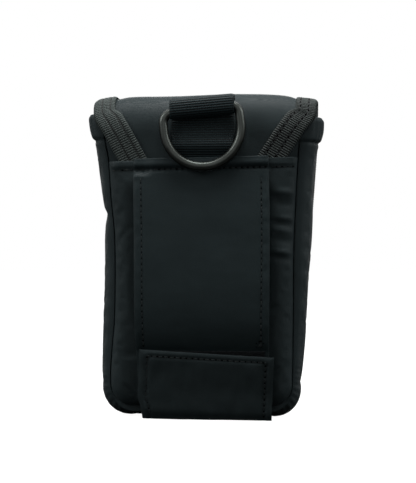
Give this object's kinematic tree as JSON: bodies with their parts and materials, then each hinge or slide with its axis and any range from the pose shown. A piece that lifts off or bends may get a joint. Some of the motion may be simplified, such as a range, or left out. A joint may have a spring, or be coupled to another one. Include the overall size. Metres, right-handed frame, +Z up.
{
  "type": "phone pouch",
  "caption": "Padded upright belt pouch for a phone: flap rolls over the top, ribbed edge binding, webbing with a D-ring, and a belt strap that a fold-up tab closes at the back.",
  "frame": {"origin": "on the flat underside of the gusset, under the middle of the pocket", "axes": "+Z up, from the base to the top of the flap; +Y to the back, with the belt strap; -Y to the front, with the fall of the flap"},
  "size_m": [0.1066, 0.0479, 0.1467],
  "materials": {
    "nylon": "fine plain-weave nylon, semi-matte",
    "lining": "thin matte lining cloth",
    "foam": "closed-cell foam sheet",
    "ribbed_tape": "ribbed binding tape, matte",
    "webbing": "woven webbing, matte",
    "fastener": "hook-and-loop fastener, matte",
    "dark_metal": "dark plated wire, satin"
  },
  "bodies": {
    "pouch": {"gusset": "nylon", "gusset_foam": "foam", "gusset_lining": "lining", "front_panel": "nylon", "front_foam": "foam", "front_lining": "lining", "back_lining": "lining", "back_foam": "foam", "back_panel": "nylon", "back_overlay": "nylon", "mouth_binding": "ribbed_tape", "front_loop_patch": "fastener", "flap_neck": "nylon", "webbing_strip": "webbing", "ring_keeper": "webbing", "strap_head": "nylon", "tab_anchor": "nylon", "neck_tape_left": "ribbed_tape", "neck_tape_right": "ribbed_tape"},
    "ring": {"d_ring": "dark_metal"},
    "flap_roll": {"flap_top": "nylon", "flap_top_lining": "lining", "flap_top_tape_left": "ribbed_tape", "flap_top_tape_right": "ribbed_tape"},
    "flap_fall": {"flap_front": "nylon", "flap_front_lining": "lining", "flap_edge_tape": "ribbed_tape", "flap_hook_patch": "fastener"},
    "strap": {"belt_strap": "nylon", "strap_lining": "lining", "strap_loop_patch": "fastener"},
    "tab": {"belt_tab": "nylon", "tab_hook_patch": "fastener"}
  },
  "joints": [
    {"name": "ring_swing", "type": "hinge", "parent": "pouch", "child": "ring", "pos_m": [0, 0.01887, 0.1377], "axis": [1, 0, 0], "range_deg": [0, 155]},
    {"name": "flap_lift", "type": "hinge", "parent": "pouch", "child": "flap_roll", "pos_m": [0, 0.00875, 0.14569], "axis": [-1, 0, 0], "range_deg": [0, 120]},
    {"name": "flap_bend", "type": "hinge", "parent": "flap_roll", "child": "flap_fall", "pos_m": [0, -0.0209, 0.133], "axis": [-1, 0, 0], "range_deg": [0, 95]},
    {"name": "tab_fold", "type": "hinge", "parent": "pouch", "child": "tab", "pos_m": [0, 0.0217, 0.0004], "axis": [-1, 0, 0], "range_deg": [0, 165]},
    {"name": "strap_swing", "type": "hinge", "parent": "pouch", "child": "strap", "pos_m": [0, 0.0186, 0.1109], "axis": [1, 0, 0], "range_deg": [0, 16.5]}
  ],
  "couplings": [
    {"joint": "strap_swing", "follows": "tab_fold", "ratio": 0.1}
  ]
}
